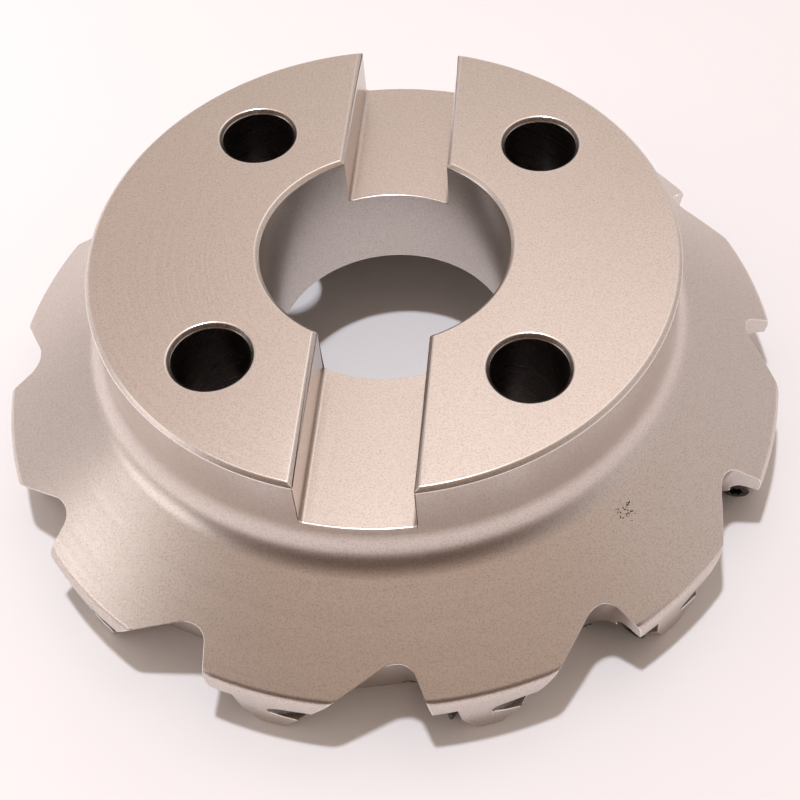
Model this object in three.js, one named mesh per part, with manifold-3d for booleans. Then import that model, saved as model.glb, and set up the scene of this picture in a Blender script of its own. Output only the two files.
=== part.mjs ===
// Indexable face mill, 200 mm class, shown without its inserts: a one-piece steel cutter body
// and the twelve screws that clamp the inserts. Millimetres, +Z up. The origin is on the cutter's
// axis in the plane of its lower rim; the drive keyway runs along Y and the back face is on top.

import * as THREE from 'three';
import { mergeVertices } from 'three/addons/utils/BufferGeometryUtils.js';
import Module from 'manifold-3d';

const wasm = await Module();
wasm.setup();

// ---- Driving dimensions -------------------------------------------------------------------

const TOOTH_COUNT = 12;
const FIRST_TOOTH_ANGLE = -80.2; // degrees from +X to the first tooth's leading tip
const BODY_HEIGHT = 62;

const HUB_RADIUS = 71;
const HUB_STEP = 0.4; // how far the root fillet starts inside the hub wall
const HUB_FILLET = 13; // between the hub's wall and the flange cone
const EDGE_CHAMFER = 1; // hub rim, bore, keyway and bolt holes

const RIM_RADIUS = 99.6; // widest part of the rim, above the inserts
const RIM_HEIGHT = 19.027; // where the flange cone would meet the rim, but for the round
const RIM_TAPER = 1.6; // how far the rim draws in towards its foot
const RIM_TAPER_TOP = 16; // height where the taper starts
const RIM_ROUND = 3; // radius between the flange cone and the rim
const RIM_FOOT_CHAMFER = 0.5;
const FLANGE_SLOPE = 34; // degrees below horizontal

const BORE_RADIUS = 30;
const BORE_LENGTH = 38;
const RECESS_RADIUS = 65; // underside recess for the bolt heads
const RECESS_FLARE = 1.5; // how much wider the recess is at its mouth
const RECESS_FILLET = 3;

const KEY_WIDTH = 25.7;
const KEY_DEPTH = 14;
const KEY_CORNER = 1; // fillet in the keyway's bottom corners

const BOLT_COUNT = 4;
const FIRST_BOLT_ANGLE = 45; // degrees from +X, clear of the keyway on both sides
const BOLT_CIRCLE = 101.6;
const BOLT_HOLE_RADIUS = 9;

const AXIAL_RAKE = 9; // degrees that a tooth's leading face looks down
const RADIAL_RAKE = 14; // degrees that it looks outward
const TIP_HEIGHT = 13.3; // height of the tooth's lower leading corner, above the pocket

const GULLET_ARCH = 4; // radius at both ends of the gullet's floor
const GULLET_TOP_INSET = 8.3; // the floor's distance inside the rim, where it meets the flange
const GULLET_FOOT_INSET = 15.5; // the same at the foot
const GULLET_FLAT = 0.5; // length of the flat floor between its two rounds, where it meets the flange
const GULLET_SPREAD = 0.7; // length that the floor gains for each millimetre down
const GULLET_RUN_OUT = 34.6; // degrees that the run-out climbs over the tooth in front

const POCKET_DEPTH = 5.6; // from the tooth's leading face back to the insert seat
const POCKET_RUN = 7; // how far the pocket's cut goes on in front of the leading face
const POCKET_ROOF_FALL = 21; // degrees that the pocket's roof falls beyond the insert's top corner
const INSERT_INCIRCLE = 12.7; // trigon insert: three sharp corners with three blunt ones between
const INSERT_CORNER = 80; // degrees in a sharp corner
const CORNER_PAIR = 240; // degrees in a sharp and a blunt corner together, in any trigon
const CORNER_STEP = 60; // degrees from each corner to the next, about the insert's middle
const INSERT_CLEARANCE = 0.15; // between insert and pocket wall
const INSERT_TURN = -45; // direction of the insert's working corner, in the seat plane
const SCREW_INSET = 6.7; // inside the rim, where the screw's axis meets the seat
const SCREW_HEIGHT = 5.6;
const CORNER_RELIEF_ACROSS = 5.7; // wedge off the seat's lower outer corner: start on the rim,
const CORNER_RELIEF_UP = 1.8; // its height above the screw's axis,
const CORNER_RELIEF_FOOT = 1.1; // end on the foot
const CORNER_RELIEF_DEPTH = 2.5; // and depth at the corner
const NOSE_RELIEF_RADIUS = 1.2; // drilled relief at the insert's inner corner

const RELIEF_RADIUS = 2.85; // long relief bored through the upper corner of the pocket
const RELIEF_INSET = 4.2; // its axis inside the rim, where it passes the tooth's tip
const RELIEF_HEIGHT = 12.15;
const RELIEF_TOE_IN = 1.4; // degrees it turns inward towards the tooth in front
const RELIEF_DROP = 3.7; // degrees it falls towards the tooth in front
const RELIEF_BEHIND_SEAT = 1.5; // how far it goes on behind the seat

const SCREW_RADIUS = 2.5; // M5 thread
const SCREW_ENGAGED = 9; // thread length in the body when tight
const SCREW_HEAD_RADIUS = 3.4;
const SCREW_CONE = 1.4; // height of the head's cone
const SCREW_HEAD_RIM = 0.8; // height of the head's round edge, its top chamfer included
const SCREW_CHAMFER = 0.25;
const FIT_GAP = 0.3; // clearance between the screw and the body
const TAPPED_EXTRA = 2.5; // depth of the tapped hole beyond the screw's end
const SOCKET_MEAN_RADIUS = 1.66; // six-lobe socket, size 20
const SOCKET_WAVE = 0.27;
const SOCKET_LOBES = 6;
const SOCKET_DEPTH = 1.6;

const OVERCUT = 3; // how far cutting solids run past the faces they cut
const BODY_SEGMENTS = 60;
const HOLE_SEGMENTS = 20;
const SMALL_SEGMENTS = 12;
const SOCKET_LOBE_STEPS = 4;
const ARC_STEPS = 4;
const SAME_POINT = 1e-4; // corners closer than this are one corner

// ---- Helpers ------------------------------------------------------------------------------

const radians = THREE.MathUtils.degToRad;
const tanDegrees = (angle) => Math.tan(radians(angle));
const point = (x, y) => new THREE.Vector2(x, y);

// Closed solid with shared vertices, ready to be joined or cut.
function solid(geometry) {
  const bare = geometry.index ? geometry.toNonIndexed() : geometry.clone();
  bare.deleteAttribute('normal');
  bare.deleteAttribute('uv');
  const merged = mergeVertices(bare, SAME_POINT);
  return new wasm.Manifold(new wasm.Mesh({
    numProp: 3,
    vertProperties: new Float32Array(merged.attributes.position.array),
    triVerts: new Uint32Array(merged.index.array),
  }));
}

function geometryOf(manifold) {
  const mesh = manifold.getMesh();
  const geometry = new THREE.BufferGeometry();
  geometry.setAttribute('position', new THREE.BufferAttribute(new Float32Array(mesh.vertProperties), 3));
  geometry.setIndex(new THREE.BufferAttribute(new Uint32Array(mesh.triVerts), 1));
  geometry.computeVertexNormals();
  return geometry;
}

// Points on an arc about a centre, from one angle to another, in degrees.
function arc(centre, radius, from, to, steps = ARC_STEPS) {
  const points = [];
  for (let i = 0; i <= steps; i++) {
    const angle = radians(THREE.MathUtils.lerp(from, to, i / steps));
    points.push(point(centre.x + radius * Math.cos(angle), centre.y + radius * Math.sin(angle)));
  }
  return points;
}

// Solid of revolution about Z. The profile holds (radius, height) points, anticlockwise.
function turned(profile, segments) {
  return new THREE.LatheGeometry(profile, segments).rotateX(Math.PI / 2);
}

function extruded(outline, depth) {
  return new THREE.ExtrudeGeometry(new THREE.Shape(outline), { depth, bevelEnabled: false });
}

// Solid between two outlines with the same number of corners, one at each level.
function lofted(outlineAt, foot, head) {
  const lower = outlineAt(foot);
  const upper = outlineAt(head);
  const geometry = extruded(lower, head - foot).translate(0, 0, foot);
  const position = geometry.attributes.position;
  const middle = (foot + head) / 2;
  for (let i = 0; i < position.count; i++) {
    if (position.getZ(i) < middle) continue;
    const below = point(position.getX(i), position.getY(i));
    const moved = upper[lower.findIndex((corner) => corner.distanceTo(below) < SAME_POINT)];
    position.setXY(i, moved.x, moved.y);
  }
  return geometry;
}

function named(name, manifold, material) {
  const mesh = new THREE.Mesh(geometryOf(manifold), material);
  mesh.name = name;
  return mesh;
}

// ---- Turned body --------------------------------------------------------------------------

function coneHeight(radius) {
  return RIM_HEIGHT + (RIM_RADIUS - radius) * tanDegrees(FLANGE_SLOPE);
}

// Root of the hub, from the flange cone up to the hub's wall.
function hubRoot() {
  const slope = radians(FLANGE_SLOPE);
  const centreX = HUB_RADIUS - HUB_STEP + HUB_FILLET;
  const touchX = centreX - HUB_FILLET * Math.sin(slope);
  const centre = point(centreX, coneHeight(touchX) + HUB_FILLET * Math.cos(slope));
  return arc(centre, HUB_FILLET, 270 - FLANGE_SLOPE, 180);
}

// Round between the flange cone and the rim.
function rimRound() {
  const setback = RIM_ROUND * tanDegrees((90 - FLANGE_SLOPE) / 2);
  const centre = point(RIM_RADIUS - RIM_ROUND, RIM_HEIGHT - setback);
  return arc(centre, RIM_ROUND, 0, 90 - FLANGE_SLOPE);
}

function turnedBody() {
  const root = hubRoot();
  const recessTop = BODY_HEIGHT - BORE_LENGTH;
  const recessCorner = point(RECESS_RADIUS - RECESS_FILLET, recessTop - RECESS_FILLET);
  const recessMouth = RECESS_RADIUS + RECESS_FLARE;
  const profile = [
    point(recessMouth, 0),
    point(RIM_RADIUS - RIM_TAPER - RIM_FOOT_CHAMFER, 0),
    point(RIM_RADIUS - RIM_TAPER, RIM_FOOT_CHAMFER),
    point(RIM_RADIUS, RIM_TAPER_TOP),
    ...rimRound(),
    ...root,
    point(HUB_RADIUS, root[ARC_STEPS].y),
    point(HUB_RADIUS, BODY_HEIGHT - EDGE_CHAMFER),
    point(HUB_RADIUS - EDGE_CHAMFER, BODY_HEIGHT),
    point(BORE_RADIUS + EDGE_CHAMFER, BODY_HEIGHT),
    point(BORE_RADIUS, BODY_HEIGHT - EDGE_CHAMFER),
    point(BORE_RADIUS, recessTop + EDGE_CHAMFER),
    point(BORE_RADIUS + EDGE_CHAMFER, recessTop),
    ...arc(recessCorner, RECESS_FILLET, 90, 0, ARC_STEPS / 2),
    point(recessMouth, 0),
  ];
  return solid(turned(profile, BODY_SEGMENTS));
}

// ---- Cuts in the hub ----------------------------------------------------------------------

function keyway() {
  const floor = BODY_HEIGHT - KEY_DEPTH;
  const half = KEY_WIDTH / 2;
  const outline = [
    ...arc(point(-half + KEY_CORNER, floor + KEY_CORNER), KEY_CORNER, 180, 270, ARC_STEPS / 2),
    ...arc(point(half - KEY_CORNER, floor + KEY_CORNER), KEY_CORNER, 270, 360, ARC_STEPS / 2),
    point(half, BODY_HEIGHT - EDGE_CHAMFER),
    point(half + EDGE_CHAMFER + OVERCUT, BODY_HEIGHT + OVERCUT),
    point(-half - EDGE_CHAMFER - OVERCUT, BODY_HEIGHT + OVERCUT),
    point(-half, BODY_HEIGHT - EDGE_CHAMFER),
  ];
  const length = 2 * (HUB_RADIUS + OVERCUT);
  return solid(extruded(outline, length).rotateX(Math.PI / 2).translate(0, length / 2, 0));
}

function boltHole(index) {
  const foot = BODY_HEIGHT - BORE_LENGTH;
  const flare = BOLT_HOLE_RADIUS + EDGE_CHAMFER + OVERCUT;
  const profile = [
    point(0, foot - OVERCUT),
    point(flare, foot - OVERCUT),
    point(BOLT_HOLE_RADIUS, foot + EDGE_CHAMFER),
    point(BOLT_HOLE_RADIUS, BODY_HEIGHT - EDGE_CHAMFER),
    point(flare, BODY_HEIGHT + OVERCUT),
    point(0, BODY_HEIGHT + OVERCUT),
  ];
  const turn = radians(FIRST_BOLT_ANGLE + (360 / BOLT_COUNT) * index);
  return solid(turned(profile, HOLE_SEGMENTS).translate(BOLT_CIRCLE / 2, 0, 0).rotateZ(turn));
}

// ---- One tooth ----------------------------------------------------------------------------
// Cuts are made in the tooth's own frame: +Y outward through the tip, +X the way the cutter
// turns, so the leading face looks along +X and the tooth in front lies at larger X.

const rake = new THREE.Vector3(1, tanDegrees(RADIAL_RAKE), -tanDegrees(AXIAL_RAKE));
const seatNormal = rake.clone().normalize();
const seatAcross = new THREE.Vector3(0, 0, 1).cross(seatNormal).normalize();
const seatUp = seatNormal.clone().cross(seatAcross);

// X of the leading face's plane, which holds the tooth's tip.
function leadingX(y, z) {
  return -rake.y * (y - RIM_RADIUS) - rake.z * (z - TIP_HEIGHT);
}

const screwRadial = RIM_RADIUS - SCREW_INSET;
const seatX = leadingX(screwRadial, SCREW_HEIGHT) - POCKET_DEPTH / seatNormal.x;
const seatCentre = new THREE.Vector3(seatX, screwRadial, SCREW_HEIGHT);

// Frame on the insert seat: origin on the screw's axis, X across, Y up the seat, Z out of it.
function seatFrame() {
  return new THREE.Matrix4().makeBasis(seatAcross, seatUp, seatNormal).setPosition(seatCentre);
}

const gulletTop = coneHeight(RIM_RADIUS - GULLET_TOP_INSET);

// Outline of the gullet at a height: leading face, round, floor, round, and the run-out.
function gulletOutline(z) {
  const inset = THREE.MathUtils.mapLinear(z, 0, gulletTop, GULLET_FOOT_INSET, GULLET_TOP_INSET);
  const roundY = RIM_RADIUS - inset + GULLET_ARCH;
  const near = point(leadingX(roundY, z) + GULLET_ARCH / Math.cos(radians(RADIAL_RAKE)), roundY);
  const far = point(near.x + GULLET_FLAT + GULLET_SPREAD * (gulletTop - z), roundY);
  const farRound = arc(far, GULLET_ARCH, 270, 270 + GULLET_RUN_OUT);
  const runOut = farRound[ARC_STEPS];
  const outerY = RIM_RADIUS + 2 * OVERCUT;
  return [
    point(leadingX(outerY, z), outerY),
    ...arc(near, GULLET_ARCH, 180 + RADIAL_RAKE, 270),
    ...farRound,
    point(runOut.x + (outerY - runOut.y) / tanDegrees(GULLET_RUN_OUT), outerY),
  ];
}

function gullet() {
  return solid(lofted(gulletOutline, -OVERCUT, gulletTop));
}

// Corner of the trigon insert: the sharp corners are the even ones, the blunt ones lie between.
function insertCorner(index, clearance) {
  const blunt = CORNER_PAIR - INSERT_CORNER;
  const halfAngle = (index % 2 === 0 ? INSERT_CORNER : blunt) / 2;
  const reach = (INSERT_INCIRCLE / 2 + clearance) / Math.sin(radians(halfAngle));
  const angle = radians(INSERT_TURN + CORNER_STEP * index);
  return point(reach * Math.cos(angle), reach * Math.sin(angle));
}

// Pocket for the insert: roof, inner wall and seat; open outward, downward and forward.
function pocket() {
  const blunt = insertCorner(3, INSERT_CLEARANCE);
  const upper = insertCorner(2, INSERT_CLEARANCE);
  const inner = insertCorner(4, INSERT_CLEARANCE);
  const foot = -SCREW_HEIGHT - OVERCUT;
  const outside = INSERT_INCIRCLE;
  const roofFall = tanDegrees(POCKET_ROOF_FALL) * (outside - upper.x);
  const outline = [
    point(outside, foot),
    point(outside, upper.y - roofFall),
    upper,
    blunt,
    inner,
    point(inner.x, foot),
  ];
  const prism = extruded(outline, POCKET_DEPTH + POCKET_RUN);
  return solid(prism.applyMatrix4(seatFrame()));
}

// Drilled relief where the insert's inner corner would meet the wall.
function noseRelief() {
  const inner = insertCorner(4, INSERT_CLEARANCE);
  const length = POCKET_DEPTH + POCKET_RUN;
  const drill = new THREE.CylinderGeometry(NOSE_RELIEF_RADIUS, NOSE_RELIEF_RADIUS, length, SMALL_SEGMENTS / 2);
  drill.rotateX(Math.PI / 2).translate(inner.x, inner.y, length / 2);
  return solid(drill.applyMatrix4(seatFrame()));
}

// The seat falls away behind the insert's working corner: a wedge off its lower outer corner,
// between two points on the seat's edges and one sunk below the corner.
function cornerRelief() {
  const onRim = new THREE.Vector3(CORNER_RELIEF_ACROSS, CORNER_RELIEF_UP, 0);
  const onFoot = new THREE.Vector3(CORNER_RELIEF_FOOT, -SCREW_HEIGHT, 0);
  const sunk = new THREE.Vector3(CORNER_RELIEF_ACROSS, -SCREW_HEIGHT, -CORNER_RELIEF_DEPTH);
  const along = onFoot.clone().sub(onRim).normalize();
  const normal = along.clone().cross(sunk.sub(onRim)).normalize();
  const side = normal.clone().cross(along);
  const basis = new THREE.Matrix4().makeBasis(along, side, normal).setPosition(onRim);
  const size = 2 * INSERT_INCIRCLE;
  const block = new THREE.BoxGeometry(size, size, POCKET_DEPTH);
  block.translate(size / 2 - OVERCUT / 2, 0, POCKET_DEPTH / 2);
  return solid(block.applyMatrix4(basis).applyMatrix4(seatFrame()));
}

// Round relief along the way the cutter turns; it also opens a slot in the tooth in front.
function longRelief() {
  const behind = seatX - RELIEF_BEHIND_SEAT;
  const length = RIM_RADIUS / 2 - behind;
  const drill = new THREE.CylinderGeometry(RELIEF_RADIUS, RELIEF_RADIUS, length, SMALL_SEGMENTS);
  drill.rotateZ(Math.PI / 2).translate(length / 2 + behind, 0, 0);
  drill.rotateY(radians(RELIEF_DROP)).rotateZ(-radians(RELIEF_TOE_IN));
  return solid(drill.translate(0, RIM_RADIUS - RELIEF_INSET, RELIEF_HEIGHT));
}

// Hole for the insert's screw; its countersunk mouth is wider than the screw's head.
function tappedHole() {
  const radius = SCREW_RADIUS + FIT_GAP;
  const mouth = SCREW_HEAD_RADIUS + FIT_GAP;
  const profile = [
    point(0, -SCREW_ENGAGED - TAPPED_EXTRA),
    point(radius, -SCREW_ENGAGED - TAPPED_EXTRA),
    point(radius, radius - mouth),
    point(mouth, 0),
    point(mouth, OVERCUT),
    point(0, OVERCUT),
  ];
  return solid(turned(profile, SMALL_SEGMENTS).applyMatrix4(seatFrame()));
}

function toothCuts() {
  return gullet().add(pocket()).add(noseRelief()).add(cornerRelief()).add(longRelief()).add(tappedHole());
}

// Turn from the tooth's own frame to its place on the body.
function toothTurn(index) {
  return radians(FIRST_TOOTH_ANGLE - 90 + (360 / TOOTH_COUNT) * index);
}

// ---- Insert screw -------------------------------------------------------------------------

function socket() {
  const outline = [];
  const steps = SOCKET_LOBES * SOCKET_LOBE_STEPS;
  for (let i = 0; i < steps; i++) {
    const angle = (2 * Math.PI * i) / steps;
    const reach = SOCKET_MEAN_RADIUS + SOCKET_WAVE * Math.cos(SOCKET_LOBES * angle);
    outline.push(point(reach * Math.cos(angle), reach * Math.sin(angle)));
  }
  return outline;
}

function insertScrew() {
  const headFoot = FIT_GAP;
  const rimFoot = headFoot + SCREW_CONE;
  const top = rimFoot + SCREW_HEAD_RIM;
  const profile = [
    point(0, -SCREW_ENGAGED),
    point(SCREW_RADIUS - SCREW_CHAMFER, -SCREW_ENGAGED),
    point(SCREW_RADIUS, -SCREW_ENGAGED + SCREW_CHAMFER),
    point(SCREW_RADIUS, headFoot),
    point(SCREW_HEAD_RADIUS, rimFoot),
    point(SCREW_HEAD_RADIUS, top - SCREW_CHAMFER),
    point(SCREW_HEAD_RADIUS - SCREW_CHAMFER, top),
    point(0, top),
  ];
  const blank = solid(turned(profile, SMALL_SEGMENTS));
  const driver = solid(extruded(socket(), SOCKET_DEPTH + OVERCUT).translate(0, 0, top - SOCKET_DEPTH));
  return blank.subtract(driver);
}

// ---- Assembly -----------------------------------------------------------------------------

function cutterBody() {
  let body = turnedBody().subtract(keyway());
  for (let i = 0; i < BOLT_COUNT; i++) body = body.subtract(boltHole(i));
  const cuts = geometryOf(toothCuts());
  for (let i = 0; i < TOOTH_COUNT; i++) {
    body = body.subtract(solid(cuts.clone().rotateZ(toothTurn(i))));
  }
  return body;
}

function faceMill() {
  const group = new THREE.Group();
  const platedSteel = new THREE.MeshStandardMaterial({ color: 0xb3a697, metalness: 0.9, roughness: 0.42 });
  group.add(named('cutter_body', cutterBody(), platedSteel));
  const screw = insertScrew();
  for (let i = 0; i < TOOTH_COUNT; i++) {
    const blackSteel = new THREE.MeshStandardMaterial({ color: 0x2a2826, metalness: 0.8, roughness: 0.45 });
    const mesh = named(`insert_screw_${String(i + 1).padStart(2, '0')}`, screw, blackSteel);
    const place = new THREE.Matrix4().makeRotationZ(toothTurn(i)).multiply(seatFrame());
    place.decompose(mesh.position, mesh.quaternion, mesh.scale);
    group.add(mesh);
  }
  return group;
}

export default faceMill();
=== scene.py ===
"""Looks of an indexable face mill, 200 mm class, with its insert pockets empty.

The cutter body and the insert screws are modelled here in full detail, each in the place that
the frame gives it, and finished in satin nickel plating and dark oxide steel. They stand on a
plain pale table under soft light. All lengths are in metres.
"""
import logging
import math
from collections.abc import Callable, Sequence
from dataclasses import dataclass, field
from enum import Enum

import bmesh
import bpy
from mathutils import Matrix, Vector
from mathutils.bvhtree import BVHTree


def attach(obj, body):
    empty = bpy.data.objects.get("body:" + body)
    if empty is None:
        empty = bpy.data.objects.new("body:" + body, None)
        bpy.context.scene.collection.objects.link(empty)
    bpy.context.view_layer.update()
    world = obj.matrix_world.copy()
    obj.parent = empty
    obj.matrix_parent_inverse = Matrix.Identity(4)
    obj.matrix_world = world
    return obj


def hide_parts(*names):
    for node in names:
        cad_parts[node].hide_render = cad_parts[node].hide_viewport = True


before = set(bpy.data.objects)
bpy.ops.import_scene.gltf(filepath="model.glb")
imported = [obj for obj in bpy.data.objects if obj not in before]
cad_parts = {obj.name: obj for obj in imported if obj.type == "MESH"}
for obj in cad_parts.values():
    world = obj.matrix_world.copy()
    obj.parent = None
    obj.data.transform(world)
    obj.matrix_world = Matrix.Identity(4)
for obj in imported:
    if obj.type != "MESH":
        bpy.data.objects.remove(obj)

LOG = logging.getLogger("face_mill")
MERGE = 2e-6
OVERCUT = 0.003


# ---- Shared helpers ---------------------------------------------------------------------------


class Operation(Enum):
    """What a tool solid does to a work solid."""

    CUT = "DIFFERENCE"
    JOIN = "UNION"


class Surface(Enum):
    """Material slots of the pieces, in order."""

    PLATED = 0
    # Slot for the dark colour that paints shade into the holes, pockets and reliefs.
    DARK = 1


def polar(radius: float, degrees: float) -> Vector:
    """Point in the XY plane at a radius and an angle from +X.

    Args:
        radius: distance from the origin.
        degrees: angle from +X, anticlockwise.

    Returns:
        The point, with Z at zero.
    """
    angle = math.radians(degrees)
    return Vector((radius * math.cos(angle), radius * math.sin(angle), 0.0))


def flat_points(pairs: Sequence[tuple[float, float]]) -> list[Vector]:
    """Points in the XY plane from pairs of numbers."""
    return [Vector((*pair, 0.0)) for pair in pairs]


def arc(centre: Vector, radius: float, start: float, end: float, steps: int) -> list[Vector]:
    """Points along an arc in the plane of its centre.

    Args:
        centre: middle of the arc.
        radius: radius of the arc.
        start: first angle in degrees.
        end: last angle in degrees.
        steps: number of chords.

    Returns:
        The points, ends included.
    """
    return [centre + polar(radius, start + (end - start) * i / steps) for i in range(steps + 1)]


def make_object(name: str, bm: bmesh.types.BMesh, surface: Surface = Surface.PLATED) -> bpy.types.Object:
    """Turn a finished bmesh into an object at the origin, and free the bmesh.

    Args:
        name: name of the object and its mesh.
        bm: the shape.
        surface: what its faces are like, or the faces that it cuts.

    Returns:
        The linked object.
    """
    for face in bm.faces:
        face.material_index = surface.value
    mesh = bpy.data.meshes.new(name)
    bm.to_mesh(mesh)
    bm.free()
    for _ in Surface:
        mesh.materials.append(None)
    made = bpy.data.objects.new(name, mesh)
    bpy.context.scene.collection.objects.link(made)
    return made


def clean(bm: bmesh.types.BMesh, distance: float = MERGE) -> None:
    """Merge doubles and turn all faces outward."""
    bmesh.ops.remove_doubles(bm, verts=bm.verts, dist=distance)
    bmesh.ops.recalc_face_normals(bm, faces=bm.faces)


def turned(profile: Sequence[Vector], steps: int) -> bmesh.types.BMesh:
    """Spin a closed profile of (radius, height) points about Z.

    Args:
        profile: corners of the section, without the first one repeated.
        steps: number of flats round the full turn.

    Returns:
        A closed shape.
    """
    bm = bmesh.new()
    verts = [bm.verts.new((p.x, 0.0, p.y)) for p in profile]
    edges = [bm.edges.new((a, b)) for a, b in zip(verts, verts[1:] + verts[:1])]
    bmesh.ops.spin(
        bm, geom=verts + edges, cent=(0, 0, 0), axis=(0, 0, 1), angle=math.tau,
        steps=steps, use_merge=True, use_duplicate=False,
    )
    clean(bm)
    return bm


def prism(outline: Sequence[Vector], height: float) -> bmesh.types.BMesh:
    """Extrude a flat outline straight up.

    Args:
        outline: corners in the XY plane.
        height: length of the prism along Z.

    Returns:
        A closed shape that starts at the outline's own level.
    """
    bm = bmesh.new()
    face = bm.faces.new([bm.verts.new(p) for p in outline])
    raised = bmesh.ops.extrude_face_region(bm, geom=[face])["geom"]
    corners = [v for v in raised if isinstance(v, bmesh.types.BMVert)]
    bmesh.ops.translate(bm, verts=corners, vec=(0, 0, height))
    clean(bm)
    return bm


def lofted(outline_at: Callable[[float], list[Vector]], foot: float, head: float) -> bmesh.types.BMesh:
    """Solid between two outlines with the same corners in the same order.

    Args:
        outline_at: gives the outline at a level.
        foot: lower level.
        head: upper level.

    Returns:
        A closed shape.
    """
    bm = bmesh.new()
    lower = [bm.verts.new((p.x, p.y, foot)) for p in outline_at(foot)]
    upper = [bm.verts.new((p.x, p.y, head)) for p in outline_at(head)]
    bm.faces.new(list(reversed(lower)))
    bm.faces.new(upper)
    for i in range(len(lower)):
        bm.faces.new((lower[i - 1], lower[i], upper[i], upper[i - 1]))
    clean(bm)
    return bm


def drill(radius: float, start: float, end: float, flats: int) -> bmesh.types.BMesh:
    """Round bar along Z between two levels.

    Args:
        radius: radius of the bar.
        start: lower level.
        end: upper level.
        flats: number of flats round the bar.

    Returns:
        A closed shape.
    """
    bm = bmesh.new()
    bmesh.ops.create_cone(
        bm, cap_ends=True, segments=flats, radius1=radius, radius2=radius, depth=end - start,
        matrix=Matrix.Translation((0, 0, (start + end) / 2)),
    )
    return bm


def apply_modifiers(piece: bpy.types.Object) -> None:
    """Replace a piece's mesh by what its modifiers make of it.

    Args:
        piece: the piece, which has no modifiers left afterwards.
    """
    graph = bpy.context.evaluated_depsgraph_get()
    mesh = bpy.data.meshes.new_from_object(piece.evaluated_get(graph))
    old = piece.data
    piece.modifiers.clear()
    piece.data = mesh
    bpy.data.meshes.remove(old)


def settle_normals(piece: bpy.types.Object, angle: float) -> None:
    """Shade a piece so that its large faces look flat and its rounded edges soft.

    Args:
        piece: the finished piece.
        angle: degrees between faces beyond which an edge stays sharp.
    """
    piece.data.set_sharp_from_angle(angle=math.radians(angle))
    modifier = piece.modifiers.new("settle", "WEIGHTED_NORMAL")
    modifier.keep_sharp = True
    modifier.weight = 100
    apply_modifiers(piece)


def combine(work: bpy.types.Object, tool: bpy.types.Object, operation: Operation) -> None:
    """Join a tool solid to a work solid or cut it away, and use the tool up.

    Args:
        work: the piece that is changed.
        tool: the solid that changes it.
        operation: what the tool does.
    """
    modifier = work.modifiers.new("combine", "BOOLEAN")
    modifier.operation = operation.value
    modifier.solver = "MANIFOLD"
    modifier.object = tool
    apply_modifiers(work)
    mesh = tool.data
    bpy.data.objects.remove(tool)
    bpy.data.meshes.remove(mesh)


def fit_out(
    piece: bpy.types.Object, node: str, body: str, slot: str, materials: Sequence[bpy.types.Material],
) -> None:
    """Give a piece its materials and tie it to the frame.

    Args:
        piece: the finished piece.
        node: the frame's node that it stands for.
        body: the body that it moves with.
        slot: the record's material slot; not used.
        materials: its materials, in the order of Surface.
    """
    for index, material in enumerate(materials):
        piece.data.materials[index] = material
    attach(piece, body)
    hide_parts(node)


def tan(degrees: float) -> float:
    """Tangent of an angle in degrees."""
    return math.tan(math.radians(degrees))


# ---- The cutter body --------------------------------------------------------------------------


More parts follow.
